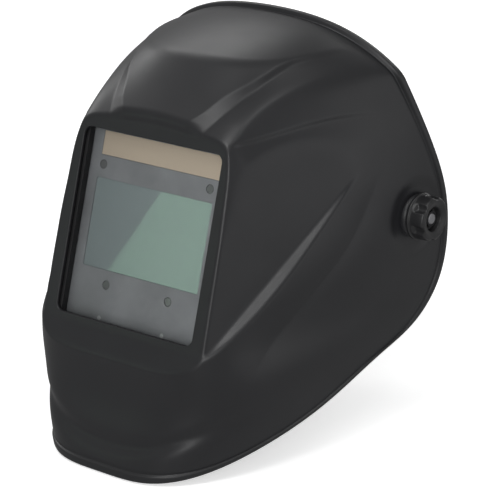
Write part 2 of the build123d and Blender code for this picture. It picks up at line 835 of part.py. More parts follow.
# Headband: a round front, straight sides and two open ends at the back
band_outer = band_radius + band_wall
rack_outer = rack_radius + rack_wall
brow_part = arc_band(band_radius, band_outer, -brow_tall / 2, brow_tall / 2, 205, 335, front_arc_y)
loop_outer = arc_band(band_radius + 0.4, rack_outer + 1.4, -8.6, 11.2, 36, 39.5, rear_arc_y)
loop_inner = arc_band(band_outer, rack_outer + 0.3, -7.4, 10.0, 35, 41, rear_arc_y)
half_turn = Axis(band_plane.origin, band_plane.y_dir)

with BuildPart() as rack_loop:
    add(loop_outer)
    add(loop_inner, mode=Mode.SUBTRACT)

with BuildPart() as headband:
    with BuildSketch(band_plane.offset(-band_tall / 2)):
        with BuildLine():
            for radius in (band_radius, band_radius + band_wall):
                CenterArc((0, front_arc_y), radius, 180, 180)
                Line((-radius, front_arc_y), (-radius, rear_arc_y))
                Line((radius, front_arc_y), (radius, rear_arc_y))
                CenterArc((0, rear_arc_y), radius, 0, band_end_angle)
                CenterArc((0, rear_arc_y), radius, 180 - band_end_angle, band_end_angle)
            for angle in (band_end_angle, 180 - band_end_angle):
                Line(
                    ring_point(band_radius, angle, rear_arc_y),
                    ring_point(band_radius + band_wall, angle, rear_arc_y),
                )
        make_face()
    extrude(amount=band_tall)
    add(brow_part)
    add(rack_loop.part)
    add(rack_loop.part.rotate(half_turn, 180))
    add(bracket_screws.part, mode=Mode.SUBTRACT)
    add(strap_rivets.part, mode=Mode.SUBTRACT)
headband.part.label = "headband"
export_step(headband.part, "parts/headband.step")

# Racks: the left one runs over the pinion and the right one under it
rack_body = arc_band(rack_radius, rack_outer, rack_low, rack_high, rack_start, rack_neck, rear_arc_y)
rack_strip = arc_band(rack_radius, rack_outer, rack_tip, rack_high, rack_neck - 1, rack_end, rear_arc_y)
rack_gaps = [
    arc_band(
        rack_radius - 1,
        rack_outer + 1,
        rack_tip - 1,
        rack_root,
        90 + step * tooth_pitch - tooth_gap / 2,
        90 + step * tooth_pitch + tooth_gap / 2,
        rear_arc_y,
    )
    for step in range(-9, 3)
]

with BuildPart() as rack_left:
    add(rack_body)
    add(rack_strip)
    add(rack_gaps, mode=Mode.SUBTRACT)
rack_left.part.label = "rack_left"
export_step(rack_left.part, "parts/rack_left.step")

with BuildPart() as rack_right:
    add(rack_left.part.rotate(half_turn, 180))
rack_right.part.label = "rack_right"
export_step(rack_right.part, "parts/rack_right.step")

# Ratchet at the nape
housing_low = -housing_tall / 2
housing_high = housing_tall / 2
room_start = housing_start - 2
room_end = housing_end + 2
tray_block = arc_band(
    housing_radius, cover_radius, housing_low, housing_high, housing_start, housing_end, rear_arc_y
)
tray_room = arc_band(79.9, 84.0, -10.4, 10.4, room_start, room_end, rear_arc_y)
cover_block = arc_band(
    cover_radius, cover_outer, housing_low, housing_high, housing_start, housing_end, rear_arc_y
)
inside_cover = arc_band(60.0, cover_radius, -30, 30, room_start - 8, room_end + 8, rear_arc_y)
nape = Plane(
    origin=band_plane.origin + band_plane.y_dir * (rear_arc_y + 80),
    x_dir=(1, 0, 0),
    z_dir=band_plane.y_dir,
)

with BuildPart() as ratchet_housing:
    add(tray_block)
    add(tray_room, mode=Mode.SUBTRACT)
ratchet_housing.part.label = "ratchet_housing"
export_step(ratchet_housing.part, "parts/ratchet_housing.step")

with BuildPart() as ratchet_cover:
    with BuildSketch(nape.offset(1.5)):
        Circle(ratchet_radius - 2)
    extrude(amount=8.5)
    add(cover_block)
    add(inside_cover, mode=Mode.SUBTRACT)
    with BuildSketch(nape):
        Circle(5.0 + running_gap)
    extrude(amount=12, mode=Mode.SUBTRACT)
ratchet_cover.part.label = "ratchet_cover"
export_step(ratchet_cover.part, "parts/ratchet_cover.step")

with BuildPart() as ratchet_pinion:
    with BuildSketch(nape.offset(0.2)):
        Circle(pinion_root)
        with PolarLocations(0, pinion_teeth):
            with Locations(((pinion_root + pinion_tip) / 2 - 0.3, 0)):
                Trapezoid(1.9, pinion_tip - pinion_root + 0.6, 76, rotation=-90)
    extrude(amount=1.6)
    with BuildSketch(nape.offset(1.8)):
        Circle(5.0)
    extrude(amount=9.0)
    with BuildSketch(nape.offset(10.8)):
        Rectangle(6.4, 6.4)
    extrude(amount=9.0)
ratchet_pinion.part.label = "ratchet_pinion"
export_step(ratchet_pinion.part, "parts/ratchet_pinion.step")

# Click spring: a thin star that the knob rides over
with BuildPart() as click_spring:
    with BuildSketch(nape.offset(10.05)):
        Circle(16)
        Circle(8, mode=Mode.SUBTRACT)
        with PolarLocations(12, 6):
            SlotCenterToCenter(3.5, 2, rotation=90, mode=Mode.SUBTRACT)
    extrude(amount=0.6)
click_spring.part.label = "click_spring"
export_step(click_spring.part, "parts/click_spring.step")

with BuildPart() as ratchet_knob:
    with BuildSketch(nape.offset(11)):
        Circle(ratchet_radius)
    extrude(amount=ratchet_depth, taper=4)
    with BuildSketch(nape.offset(12)):
        with PolarLocations(ratchet_radius + 1.2, 14):
            Circle(2.8)
    extrude(amount=ratchet_depth + 1, mode=Mode.SUBTRACT)
    with BuildSketch(nape.offset(10)):
        Rectangle(6.4, 6.4)
    extrude(amount=9.8, mode=Mode.SUBTRACT)
ratchet_knob.part.label = "ratchet_knob"
export_step(ratchet_knob.part, "parts/ratchet_knob.step")


def strap_arch(foot, lean, inner, start, end, width, legs):
    """Arch over the head in a leaning plane, with a leg down each listed side."""
    plane = Plane(
        origin=foot,
        x_dir=(1, 0, 0),
        z_dir=(0, -cos(radians(lean)), -sin(radians(lean))),
    )
    outer = inner + strap_wall
    with BuildPart() as arch:
        with BuildSketch(plane.offset(-width / 2)):
            with BuildLine():
                CenterArc((0, 0), inner, start, end - start)
                CenterArc((0, 0), outer, start, end - start)
                Line(ring_point(inner, start, 0), ring_point(outer, start, 0))
                Line(ring_point(inner, end, 0), ring_point(outer, end, 0))
            make_face()
            for side in legs:
                with Locations((side * (inner + outer) / 2, -leg_drop / 2)):
                    Rectangle(strap_wall, leg_drop)
        extrude(amount=width)
    return arch.part


def strap_hole_plane(foot, lean, angle):
    """Plane square to the strap at an angle round its arch, at the arch's centre."""
    up = Vector(0, -sin(radians(lean)), cos(radians(lean)))
    outward = Vector(1, 0, 0) * cos(radians(angle)) + up * sin(radians(angle))
    return Plane(origin=foot, z_dir=outward)


left_arch = strap_arch(front_foot, front_lean, strap_inner, 0, 108, strap_width, (1,))
right_arch = strap_arch(front_foot, front_lean, strap_inner + 2, 72, 180, strap_width, (-1,))
rear_arch = strap_arch(rear_foot, rear_lean, strap_inner, 0, 180, strap_width - 2, (-1, 1))

with BuildPart() as crown_strap_left:
    add(left_arch)
    for angle in range(66, 107, 8):
        with BuildSketch(strap_hole_plane(front_foot, front_lean, angle).offset(75)):
            Circle(peg_radius + 0.1)
        extrude(amount=12, mode=Mode.SUBTRACT)
    add(strap_rivets.part, mode=Mode.SUBTRACT)
crown_strap_left.part.label = "crown_strap_left"
export_step(crown_strap_left.part, "parts/crown_strap_left.step")

with BuildPart() as crown_strap_right:
    add(right_arch)
    for angle in peg_angles:
        with BuildSketch(strap_hole_plane(front_foot, front_lean, angle).offset(75)):
            Circle(peg_radius)
        extrude(amount=12, mode=Mode.SUBTRACT)
    add(strap_rivets.part, mode=Mode.SUBTRACT)
crown_strap_right.part.label = "crown_strap_right"
export_step(crown_strap_right.part, "parts/crown_strap_right.step")

with BuildPart() as strap_pegs:
    for angle in peg_angles:
        with BuildSketch(strap_hole_plane(front_foot, front_lean, angle).offset(strap_inner - 0.2)):
            Circle(peg_radius)
        extrude(amount=4.6)
        with BuildSketch(strap_hole_plane(front_foot, front_lean, angle).offset(strap_inner + 3.7)):
            Circle(peg_radius + 1.4)
        extrude(amount=1.2)
strap_pegs.part.label = "strap_pegs"
export_step(strap_pegs.part, "parts/strap_pegs.step")

with BuildPart() as rear_crown_strap:
    add(rear_arch)
    add(strap_rivets.part, mode=Mode.SUBTRACT)
rear_crown_strap.part.label = "rear_crown_strap"
export_step(rear_crown_strap.part, "parts/rear_crown_strap.step")

# Soft parts
brow_foam = arc_band(band_radius - 0.3 - pad_depth, band_radius - 0.3, -13, 13, 214, 326, front_arc_y)
nape_foam = arc_band(77.4 - pad_depth, 77.4, -11, 11, 67, 113, rear_arc_y)

with BuildPart() as sweatband:
    add(brow_foam)
sweatband.part.label = "sweatband"
export_step(sweatband.part, "parts/sweatband.step")

with BuildPart() as rear_pad:
    add(nape_foam)
rear_pad.part.label = "rear_pad"
export_step(rear_pad.part, "parts/rear_pad.step")
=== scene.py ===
import bpy
import json
import numpy as np
from math import cos, pi, radians, sin, sqrt
from mathutils import Matrix, Vector


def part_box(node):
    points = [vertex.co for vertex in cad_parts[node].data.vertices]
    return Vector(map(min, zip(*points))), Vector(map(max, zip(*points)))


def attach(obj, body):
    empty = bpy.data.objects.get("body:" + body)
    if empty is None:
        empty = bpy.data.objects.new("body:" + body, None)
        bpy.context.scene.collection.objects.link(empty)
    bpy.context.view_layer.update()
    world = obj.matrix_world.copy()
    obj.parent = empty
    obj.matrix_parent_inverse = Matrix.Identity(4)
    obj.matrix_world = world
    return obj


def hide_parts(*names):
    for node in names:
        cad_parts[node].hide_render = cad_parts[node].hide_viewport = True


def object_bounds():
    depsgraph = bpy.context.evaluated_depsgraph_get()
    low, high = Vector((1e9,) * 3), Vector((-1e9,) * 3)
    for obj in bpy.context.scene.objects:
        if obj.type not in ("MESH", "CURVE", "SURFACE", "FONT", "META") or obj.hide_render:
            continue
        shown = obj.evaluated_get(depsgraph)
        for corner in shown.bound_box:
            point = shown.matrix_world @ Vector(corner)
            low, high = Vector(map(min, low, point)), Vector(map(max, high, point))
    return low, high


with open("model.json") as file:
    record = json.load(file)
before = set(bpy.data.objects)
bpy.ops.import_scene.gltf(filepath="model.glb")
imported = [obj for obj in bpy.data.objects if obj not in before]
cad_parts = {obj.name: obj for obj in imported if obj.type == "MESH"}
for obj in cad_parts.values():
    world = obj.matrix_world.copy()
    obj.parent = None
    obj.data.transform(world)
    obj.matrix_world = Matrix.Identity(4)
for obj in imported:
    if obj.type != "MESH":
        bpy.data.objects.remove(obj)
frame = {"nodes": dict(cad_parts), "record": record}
cad_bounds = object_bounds()
MM = 0.001
nodes = frame["nodes"]


# ---------------------------------------------------------------------------
# Mesh helpers. Points are in millimetres, in the CAD frame.
# ---------------------------------------------------------------------------
def mesh_piece(name, points, faces, body, slot_name):
    """A smooth mesh object from points in millimetres, riding on a body."""
    mesh = bpy.data.meshes.new(name)
    mesh.from_pydata((np.asarray(points, float) * MM).tolist(), [], faces)
    mesh.polygons.foreach_set("use_smooth", [True] * len(mesh.polygons))
    mesh.materials.append(MATERIALS[slot_name])
    mesh.update()
    piece = bpy.data.objects.new(name, mesh)
    bpy.context.scene.collection.objects.link(piece)
    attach(piece, body)
    return piece


def grid_faces(rows, columns, wrap_rows=False):
    """Quads of a grid of points numbered row by row, where each row closes on itself."""
    faces = []
    for i in range(rows if wrap_rows else rows - 1):
        low = i * columns
        high = ((i + 1) % rows) * columns
        for j in range(columns):
            k = (j + 1) % columns
            faces.append((low + j, low + k, high + k, high + j))
    return faces


def basis(axis):
    """Two unit vectors square to an axis, and the axis itself."""
    axis = np.array(axis, float) / np.linalg.norm(axis)
    helper = np.array((0.0, 0.0, 1.0)) if abs(axis[2]) < 0.9 else np.array((0.0, 1.0, 0.0))
    across = np.cross(helper, axis)
    across /= np.linalg.norm(across)
    return across, np.cross(axis, across), axis


def turned(name, profile, origin, axis, body, slot_name, segments=64, closed=False, shape=None):
    """A profile of (radius, height) turned about an axis. shape changes a radius by angle."""
    across, up, along = basis(axis)
    angles = np.linspace(0, 2 * pi, segments, endpoint=False)
    points = []
    for radius, height in profile:
        for angle in angles:
            r = shape(radius, height, angle) if shape else radius
            outward = cos(angle) * across + sin(angle) * up
            points.append(np.array(origin) + r * outward + height * along)
    faces = grid_faces(len(profile), segments, wrap_rows=closed)
    if not closed:
        last = (len(profile) - 1) * segments
        if profile[-1][0] > 0:
            faces.append(tuple(range(last, last + segments)))
        if profile[0][0] > 0:
            faces.append(tuple(reversed(range(segments))))
    return mesh_piece(name, points, faces, body, slot_name)


def join(name, pieces):
    """Joins pieces into one object with a name."""
    bpy.ops.object.select_all(action="DESELECT")
    for piece in pieces:
        piece.select_set(True)
    bpy.context.view_layer.objects.active = pieces[0]
    bpy.ops.object.join()
    pieces[0].name = name
    pieces[0].data.name = name


# ---------------------------------------------------------------------------
# Materials
# ---------------------------------------------------------------------------
class Shader:
    """A node tree with a Principled shader, and short ways to add to it."""

    def __init__(self, name, color, roughness, specular=0.5, metallic=0.0):
        self.material = bpy.data.materials.new(name)
        self.material.use_nodes = True
        self.tree = self.material.node_tree
        self.main = self.tree.nodes["Principled BSDF"]
        self.main.inputs["Base Color"].default_value = (*color, 1)
        self.main.inputs["Roughness"].default_value = roughness
        self.main.inputs["Specular IOR Level"].default_value = specular
        self.main.inputs["Metallic"].default_value = metallic
        self.color = color
        self.place = self.node("ShaderNodeTexCoord").outputs["Object"]
        self.height = None

    def node(self, kind, **values):
        """Adds a node and sets its properties."""
        made = self.tree.nodes.new(kind)
        for key, value in values.items():
            setattr(made, key, value)
        return made

    def link(self, source, target):
        self.tree.links.new(source, target)

    def noise(self, scale, detail, stretch=None):
        """Noise in object space: features are about 1/scale metres across."""
        made = self.node("ShaderNodeTexNoise")
        made.inputs["Scale"].default_value = scale
        made.inputs["Detail"].default_value = detail
        made.inputs["Roughness"].default_value = 0.55
        self.link(self.stretched(stretch) if stretch else self.place, made.inputs["Vector"])
        return made.outputs["Fac"]

    def stretched(self, scale, rotation=(0, 0, 0)):
        """Object coordinates with another scale along each axis."""
        made = self.node("ShaderNodeMapping")
        made.inputs["Scale"].default_value = scale
        made.inputs["Rotation"].default_value = rotation
        self.link(self.place, made.inputs["Vector"])
        return made.outputs["Vector"]

    def ramp(self, source, low, high, low_color, high_color):
        """Colour or grey ramp between two values of source."""
        made = self.node("ShaderNodeValToRGB")
        made.color_ramp.elements[0].position = low
        made.color_ramp.elements[1].position = high
        made.color_ramp.elements[0].color = (*low_color, 1)
        made.color_ramp.elements[1].color = (*high_color, 1)
        self.link(source, made.inputs["Fac"])
        return made.outputs["Color"]

    def mix(self, factor, first, second):
        """Mixes two colours; each is a socket or a tuple."""
        made = self.node("ShaderNodeMix", data_type="RGBA")
        self.link(factor, made.inputs[0])
        for value, socket in ((first, made.inputs[6]), (second, made.inputs[7])):
            if isinstance(value, tuple):
                socket.default_value = (*value, 1)
            else:
                self.link(value, socket)
        return made.outputs[2]

    def vary_color(self, scale, amount):
        """Clouds the base colour a little."""
        dark = tuple(c * (1 - amount) for c in self.color)
        light = tuple(min(1.0, c * (1 + amount)) for c in self.color)
        color = self.ramp(self.noise(scale, 4.0), 0.35, 0.65, dark, light)
        self.link(color, self.main.inputs["Base Color"])
        return color

    def vary_roughness(self, scale, low, high):
        """Clouds the roughness between two values."""
        grey = self.ramp(self.noise(scale, 4.0), 0.3, 0.7, (low,) * 3, (high,) * 3)
        self.link(grey, self.main.inputs["Roughness"])

    def bump(self, source, strength, distance):
        """Adds a bump on top of those before it."""
        made = self.node("ShaderNodeBump")
        made.inputs["Strength"].default_value = strength
        made.inputs["Distance"].default_value = distance
        self.link(source, made.inputs["Height"])
        if self.height is not None:
            self.link(self.height, made.inputs["Normal"])
        self.height = made.outputs["Normal"]
        self.link(self.height, self.main.inputs["Normal"])

    def soft_edges(self, radius):
        """Rounds the shading at sharp edges, as a moulded edge does."""
        made = self.node("ShaderNodeBevel", samples=6)
        made.inputs["Radius"].default_value = radius
        self.height = made.outputs["Normal"]
        self.link(self.height, self.main.inputs["Normal"])


def moulded(name, color, roughness, grain=1400, depth=0.00002, edge=0.0004, specular=0.5):
    """Injection-moulded plastic: fine spark texture, clouded gloss and soft edges."""
    made = Shader(name, color, roughness, specular)
    made.vary_color(35, 0.12)
    made.vary_roughness(60, roughness - 0.06, roughness + 0.06)
    if edge:
        made.soft_edges(edge)
    made.bump(made.noise(grain, 2.0), 0.6, depth)
    return made.material


def shell_plastic():
    """Satin black nylon: very fine grain, faint flow clouds and a painted highlight on convex
    edges.
    """
    made = Shader("shell_black", (0.0115, 0.0118, 0.0134), 0.40, 0.5)
    clouds = made.vary_color(14, 0.10)
    # convex edges such as ridges and the rim are painted lighter: a painted highlight, not wear
    edges = made.node("ShaderNodeNewGeometry").outputs["Pointiness"]
    painted_edge_highlight = made.ramp(edges, 0.515, 0.56, (0, 0, 0), (0.35,) * 3)
    made.link(made.mix(painted_edge_highlight, clouds, (0.032, 0.032, 0.034)), made.main.inputs["Base Color"])
    made.vary_roughness(22, 0.37, 0.44)
    made.bump(made.noise(1900, 2.0), 0.35, 0.000012)
    made.bump(made.noise(260, 2.0), 0.10, 0.00002)
    return made.material


def brushed_metal(name, color, roughness):
    """Plated steel with fine turning marks."""
    made = Shader(name, color, roughness, 0.5, 1.0)
    made.vary_roughness(120, roughness - 0.08, roughness + 0.1)
    made.soft_edges(0.0003)
    made.bump(made.noise(900, 3.0, stretch=(0.15, 1, 1)), 0.4, 0.00002)
    return made.material


def padded_cloth(name, color):
    """Knitted cover: rows of loops, fuzz and a soft sheen."""
    made = Shader(name, color, 0.9, 0.15)
    made.main.inputs["Sheen Weight"].default_value = 0.35
    made.main.inputs["Sheen Roughness"].default_value = 0.5
    waves = []
    for turn in ((0, 0, radians(45)), (0, 0, radians(-45))):
        wave = made.node("ShaderNodeTexWave", wave_type="BANDS", bands_direction="DIAGONAL")
        wave.inputs["Scale"].default_value = 190
        wave.inputs["Distortion"].default_value = 0.6
        wave.inputs["Detail"].default_value = 1
        made.link(made.stretched((1, 1, 1), turn), wave.inputs["Vector"])
        waves.append(wave.outputs["Fac"])
    both = made.node("ShaderNodeMath", operation="MULTIPLY")
    made.link(waves[0], both.inputs[0])
    made.link(waves[1], both.inputs[1])
    knit = both.outputs[0]
    dark = tuple(c * 0.45 for c in color)
    cloudy = made.vary_color(70, 0.2)
    made.link(made.mix(knit, dark, cloudy), made.main.inputs["Base Color"])
    made.bump(knit, 0.7, 0.0004)
    made.bump(made.noise(2600, 2.0), 0.3, 0.0001)
    return made.material


def clear_plate():
    """Clear cover lens: thin, glossy, and mostly see-through."""
    made = Shader("clear_lens", (0.01, 0.011, 0.011), 0.22, 0.3)
    made.vary_roughness(40, 0.18, 0.26)
    made.bump(made.noise(9, 1.0), 0.05, 0.0003)
    see = made.node("ShaderNodeBsdfTransparent")
    see.inputs["Color"].default_value = (0.97, 0.98, 0.975, 1)
    gloss = made.node("ShaderNodeFresnel")
    gloss.inputs["IOR"].default_value = 1.5
    share = made.node("ShaderNodeMath", operation="MULTIPLY_ADD")
    share.inputs[1].default_value = 0.8
    share.inputs[2].default_value = 0.01
    made.link(gloss.outputs[0], share.inputs[0])
    blend = made.node("ShaderNodeMixShader")
    made.link(share.outputs[0], blend.inputs[0])
    made.link(see.outputs[0], blend.inputs[1])
    made.link(made.main.outputs[0], blend.inputs[2])
    made.link(blend.outputs[0], made.tree.nodes["Material Output"].inputs["Surface"])
    return made.material


def filter_glass():
    """Coated filter glass: grey-green, mirror smooth, with faint streaks of the coating."""
    made = Shader("filter_glass", (0.40, 0.455, 0.475), 0.03, 0.7)
    made.main.inputs["Specular Tint"].default_value = (0.72, 1.0, 0.80, 1)
    streaks = made.noise(6, 2.0, stretch=(1, 1, 0.3))
    tint = made.ramp(streaks, 0.3, 0.7, (0.385, 0.44, 0.46), (0.415, 0.47, 0.49))
    made.link(tint, made.main.inputs["Base Color"])
    made.bump(made.noise(300, 2.0), 0.03, 0.000004)
    return made.material


def solar_film():
    """Thin-film solar strip: tan, cut into narrow upright cells, under clear plastic."""
    made = Shader("solar_film", (0.86, 0.70, 0.56), 0.34, 0.5)
    cells = made.node("ShaderNodeTexWave", bands_direction="X", wave_profile="SAW")
    cells.inputs["Scale"].default_value = 50
    made.link(made.place, cells.inputs["Vector"])
    lines = made.ramp(cells.outputs["Fac"], 0.0, 0.05, (0.66, 0.53, 0.43), (0.88, 0.71, 0.57))
    cloudy = made.ramp(made.noise(55, 4.0), 0.3, 0.7, (0.85,) * 3, (1.0,) * 3)
    made.link(made.mix(cloudy, lines, (0.90, 0.73, 0.58)), made.main.inputs["Base Color"])
    made.main.inputs["Coat Weight"].default_value = 0.3
    made.bump(made.noise(700, 2.0), 0.15, 0.00002)
    return made.material


def strap_plastic():
    """Soft strap plastic with fine cross ribs."""
    made = Shader("strap_black", (0.018, 0.018, 0.019), 0.55, 0.45)
    made.vary_color(50, 0.15)
    made.soft_edges(0.0004)
    ribs = made.node("ShaderNodeTexWave", wave_type="RINGS", rings_direction="Y")
    ribs.inputs["Scale"].default_value = 60
    made.link(made.place, ribs.inputs["Vector"])
    made.bump(ribs.outputs["Fac"], 0.08, 0.0001)
    made.bump(made.noise(1500, 2.0), 0.5, 0.00002)
    return made.material


MATERIALS = {
    "shell_black": shell_plastic(),
    "frame_black": moulded("frame_black", (0.008, 0.008, 0.009), 0.55, edge=0.0006),
    "clear_lens": clear_plate(),
    "filter_grey": moulded("filter_grey", (0.385, 0.385, 0.41), 0.42, grain=1800, edge=0.0003),
    "filter_glass": filter_glass(),
    "solar_film": solar_film(),
    "sensor_lens": moulded("sensor_lens", (0.20, 0.198, 0.206), 0.12, depth=0.000004, edge=0.0008),
    # pale LED lenses, set light grey so they show bright in the shade at the window's lower edge:
    # their own pale colour plus a painted highlight
    "led_lens": moulded(
        "led_lens", (0.75, 0.75, 0.77), 0.15, depth=0.000004, edge=0.0008, specular=0.8
    ),
    "housing_black": moulded("housing_black", (0.014, 0.014, 0.015), 0.5),
    "board_green": moulded("board_green", (0.02, 0.12, 0.06), 0.35),
    "dial_grey": moulded("dial_grey", (0.07, 0.07, 0.074), 0.45, edge=0.0003),
    "button_red": moulded("button_red", (0.42, 0.035, 0.02), 0.35, edge=0.0005),
    "knob_black": moulded("knob_black", (0.0125, 0.0125, 0.0135), 0.40, edge=0.0005),
    "nylon_black": moulded("nylon_black", (0.012, 0.012, 0.013), 0.5),
    "headgear_black": moulded(
        "headgear_black", (0.016, 0.016, 0.017), 0.48, grain=900, depth=0.00003
    ),
    "rack_nylon": moulded("rack_nylon", (0.03, 0.03, 0.032), 0.5, edge=0.0002),
    "strap_black": strap_plastic(),
    "washer_rubber": moulded(
        "washer_rubber", (0.015, 0.015, 0.015), 0.8, grain=700, depth=0.00004
    ),
    "nut_black": brushed_metal("nut_black", (0.045, 0.045, 0.048), 0.42),
    "screw_steel": brushed_metal("screw_steel", (0.42, 0.42, 0.44), 0.32),
    "pin_steel": brushed_metal("pin_steel", (0.5, 0.5, 0.52), 0.28),
    "cell_steel": brushed_metal("cell_steel", (0.6, 0.6, 0.61), 0.25),
    "sweatband_cloth": padded_cloth("sweatband_cloth", (0.045, 0.046, 0.05)),
    "rear_pad_cloth": padded_cloth("rear_pad_cloth", (0.045, 0.046, 0.05)),
}
slot_of = {entry["node"]: entry["material_slot"] for entry in frame["record"]["subparts"]}
for node_name, node_object in nodes.items():
    wanted = MATERIALS[slot_of[node_name]]
    if not node_object.material_slots:
        node_object.data.materials.append(wanted)
    for material_slot in node_object.material_slots:
        material_slot.material = wanted


# ---------------------------------------------------------------------------
# Shell: one skin from the window opening to the rim, and its inside
# ---------------------------------------------------------------------------
WALL = 2.4
SIDE_BACK = 35.0
WINDOW_TILT = radians(16)
WINDOW_CENTRE = np.array((0.0, -160.0, 6.0))
WINDOW_NORMAL = np.array((0.0, -cos(WINDOW_TILT), sin(WINDOW_TILT)))
WINDOW_UP = np.array((0.0, sin(WINDOW_TILT), cos(WINDOW_TILT)))
OPENING = (118.0, 125.4, 5.5)
CHIN_LEDGE_NORMAL = np.array((0.0, -0.84, 0.5426))
CHIN_LEDGE_POINT = np.array((0.0, -178.6, -58.5))
SIDE_NORMAL = np.array((0.9367, -0.3319, 0.1114))
SIDE_OFFSET = 118.4
LEDGE_NORMAL = np.array((0.2998, -0.6465, 0.7015))
LEDGE_OFFSET = 95.07
CROWN_TILT = radians(13.05)
CROWN_HEIGHT = 135.9
CROWN_APEX_Y = -60
RIM = (
    (-18.9, 134.4),
    (-6.3, 102.0),
    (3.5, 77.6),
    (16.8, 45.6),
    (29.8, 11.6),
    (34.7, -25.0),
    (28.8, -56.0),
    (10.7, -76.5),
    (-30.6, -92.7),
    (-84.0, -114.0),
    (-140.0, -132.6),
    (-180.5, -143.6),
    (-209.0, -149.2),
)


def natural_spline(knots):
    """Natural cubic spline through (place, value) pairs, as a function of an array."""
    x, y = np.array(knots, float).T
    h = np.diff(x)
    n = len(x)
    system = np.eye(n)
    right = np.zeros(n)
    for i in range(1, n - 1):
        system[i, i - 1 : i + 2] = h[i - 1], 2 * (h[i - 1] + h[i]), h[i]
        right[i] = 6 * ((y[i + 1] - y[i]) / h[i] - (y[i] - y[i - 1]) / h[i - 1])
    bend = np.linalg.solve(system, right)

    def at(place):
        q = np.clip(place, x[0] - 8, x[-1] + 6)
        i = np.clip(np.searchsorted(x, q) - 1, 0, n - 2)
        t = q - x[i]
        slope = (y[i + 1] - y[i]) / h[i] - h[i] * (2 * bend[i] + bend[i + 1]) / 6
        return y[i] + t * (slope + t * (bend[i] / 2 + t * (bend[i + 1] - bend[i]) / (6 * h[i])))

    return at


# foremost y, half width and the two exponents of a level section, by height
front_at = natural_spline(
    (
        (-155, -203.0),
        (-130, -197.1),
        (-100, -188.1),
        (-70, -188.4),
        (-40, -192.3),
        (0, -189.1),
        (70, -177.0),
        (110, -125.3),
        (152, -90.0),
    )
)
width_at = natural_spline(
    (
        (-155, 94.6),
        (-100, 103.6),
        (-40, 111.2),
        (30, 113.2),
        (90, 107.6),
        (103, 104.0),
        (110, 98.0),
        (117, 88.0),
        (124, 74.0),
        (131, 56.0),
        (140, 30.0),
    )
)
along_at = natural_spline(
    (
        (-155, 1.72),
        (-125, 2.2),
        (-95, 2.5),
        (-78, 2.1),
        (-60, 1.45),
        (-30, 1.45),
        (20, 1.82),
        (85, 1.21),
        (152, 1.2),
    )
)
across_at = natural_spline(
    (
        (-155, 3.6),
        (-125, 4.6),
        (-95, 5.5),
        (-65, 6.1),
        (20, 2.65),
        (85, 2.82),
        (152, 2.47),
    )
)
forehead_at = natural_spline(
    (
        (62, -154.9),
        (78.5, -139.9),
        (96, -121.1),
        (115, -100.6),
        (130, -83.7),
        (147, -66.8),
        (158, -49.8),
    )
)


def smooth_max(a, b, radius):
    """The larger of two fields, with the edge between them rounded."""
    lap = np.clip(radius - np.abs(a - b), 0, None)
    return np.maximum(a, b) + lap * lap / (4 * radius)


def smooth_min(a, b, radius):
    return -smooth_max(-a, -b, radius)


def smooth_step(t):
    t = np.clip(t, 0, 1)
    return t * t * (3 - 2 * t)


def dome_form(p):
    """Body, forehead and crown of the shell as one field: about millimetres outside it."""
    x, y, z = p[..., 0], p[..., 1], p[..., 2]
    reach = np.clip((SIDE_BACK - y) / (SIDE_BACK - front_at(z)), 1e-4, None)
    n = along_at(z)
    m = across_at(z)
    body = ((reach**n + (np.abs(x) / width_at(z)) ** m) ** (2 / (n + m)) - 1) * 100
    corner = 1.3e-6 * smooth_step((z - 82) / 42) * x**4
    brow = (forehead_at(z) + (1.36 + 4.0 * (z - 78) / 70) * 1e-3 * x * x + corner - y) * 0.75
    across_fall = 1.6e-3 * x**2 + 1.75e-7 * x**4
    along_fall = np.where(y > CROWN_APEX_Y, 2.5e-3, 1.15e-3) * (y - CROWN_APEX_Y) ** 2
    crown = cos(CROWN_TILT) * z - sin(CROWN_TILT) * y - CROWN_HEIGHT
    crown = crown + across_fall + along_fall
    return smooth_max(smooth_max(body, np.where(z > 40, brow, -50), 4.0), crown, 2.0)


def flats_form(p):
    """The window flat with the chin ledge, and the side flats with theirs."""
    mirrored = p.copy()
    mirrored[..., 0] = np.abs(p[..., 0])
    window = (p - WINDOW_CENTRE) @ WINDOW_NORMAL
    chin = (p - CHIN_LEDGE_POINT) @ CHIN_LEDGE_NORMAL
    side = mirrored @ SIDE_NORMAL - SIDE_OFFSET
    ledge = mirrored @ LEDGE_NORMAL - LEDGE_OFFSET
    return smooth_max(smooth_min(window, chin, 1.0), smooth_min(side, ledge, 1.0), 1.0)


def shell_form(p):
    """The shell's outer form as a field."""
    return smooth_max(dome_form(p), flats_form(p), 1.0)


def slope_of(field, p):
    """Unit gradient of a field at points."""
    step = 0.4
    out = np.empty_like(p)
    for k in range(3):
        move = np.zeros(3)
        move[k] = step
        out[..., k] = field(p + move) - field(p - move)
    return out / np.linalg.norm(out, axis=-1, keepdims=True)


def curve_distance(curve, a, b):
    """Signed distance from (a, b) to an open curve, and the place along it from 0 to 1."""
    curve = np.array(curve, float)
    chord = np.r_[0, np.cumsum(np.linalg.norm(np.diff(curve, axis=0), axis=1))]
    fine = np.linspace(0, chord[-1], 240)
    line = np.c_[
        natural_spline(np.c_[chord, curve[:, 0]])(fine),
        natural_spline(np.c_[chord, curve[:, 1]])(fine),
    ]
    tangent = np.gradient(line, axis=0)
    tangent /= np.linalg.norm(tangent, axis=1, keepdims=True)
    shape = np.shape(a)
    flat = np.c_[np.ravel(a), np.ravel(b)]
    distance = np.empty(len(flat))
    place = np.empty(len(flat))
    for start in range(0, len(flat), 20000):
        part = flat[start : start + 20000]
        gap = part[:, None] - line[None]
        nearest = np.argmin((gap**2).sum(-1), axis=1)
        off = part - line[nearest]
        t = tangent[nearest]
        distance[start : start + 20000] = t[:, 0] * off[:, 1] - t[:, 1] * off[:, 0]
        place[start : start + 20000] = nearest / (len(line) - 1)
    return distance.reshape(shape), place.reshape(shape)


